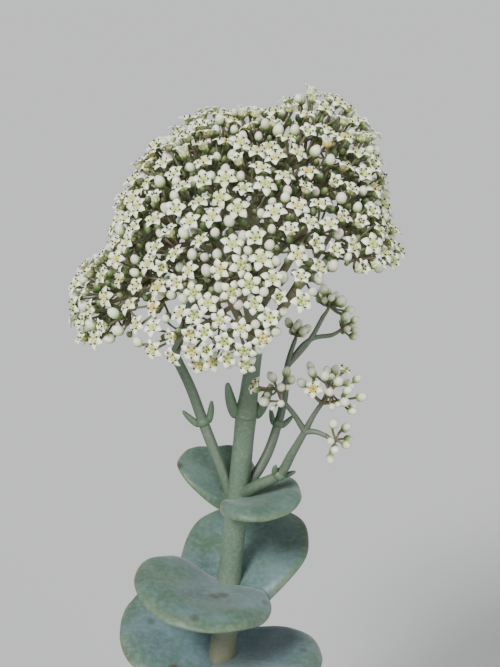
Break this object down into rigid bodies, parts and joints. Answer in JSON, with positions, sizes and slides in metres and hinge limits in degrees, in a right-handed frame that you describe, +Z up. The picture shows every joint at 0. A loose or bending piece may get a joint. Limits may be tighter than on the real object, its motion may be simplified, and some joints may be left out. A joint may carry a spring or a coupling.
{
  "type": "potted succulent in flower",
  "caption": "Potted succulent in flower: fleshy leaf pairs grown round an upright stem, side stalks with buds, and a domed head of small white star flowers.",
  "frame": {"origin": "middle of the pot's flat base, on the surface it stands on", "axes": "+Z up along the stem, +X to the plant's right as seen from the front, +Y away from the front"},
  "size_m": [0.1074, 0.096, 0.3212],
  "materials": {
    "clay": "matt fired clay, slightly dusty",
    "soil": "dark gritty soil with pale grit",
    "stem": "smooth grey-green living stem, brownish low down",
    "stalk": "smooth green stalk with pinkish tan tints",
    "leaf": "waxy blue-green leaf with a fine bloom and greener edges",
    "bract": "waxy blue-green",
    "petal": "soft white petals, cream in the middle",
    "bud": "soft white buds with a pinkish grey tint and a green base"
  },
  "bodies": {
    "root": {"pot": "clay", "soil": "soil", "leaf_pair_1": "leaf", "leaf_pair_2": "leaf", "leaf_pair_3": "leaf", "leaf_pair_4": "leaf", "leaf_pair_5": "leaf", "main_stem": "stem", "side_stalk_left": "stalk", "side_stalk_right": "stalk", "side_stalk_front": "stalk", "bracts_main": "bract", "bracts_left": "bract", "bracts_right": "bract", "bracts_front": "bract", "spray_01": "petal", "spray_02": "petal", "spray_03": "petal", "spray_04": "petal", "spray_05": "petal", "spray_06": "petal", "spray_07": "petal", "spray_08": "petal", "spray_09": "petal", "spray_10": "petal", "spray_11": "petal", "spray_12": "petal", "spray_13": "petal", "spray_14": "petal", "spray_15": "petal", "spray_16": "petal", "spray_17": "petal", "spray_18": "petal", "spray_19": "petal", "spray_20": "petal", "spray_21": "petal", "spray_22": "petal", "spray_23": "petal", "spray_24": "petal", "spray_25": "petal", "spray_26": "petal", "spray_27": "petal", "bud_spray_1": "bud", "bud_spray_2": "bud", "bud_spray_3": "bud", "bud_spray_4": "bud", "bud_spray_5": "bud", "bud_spray_6": "bud"}
  },
  "joints": []
}
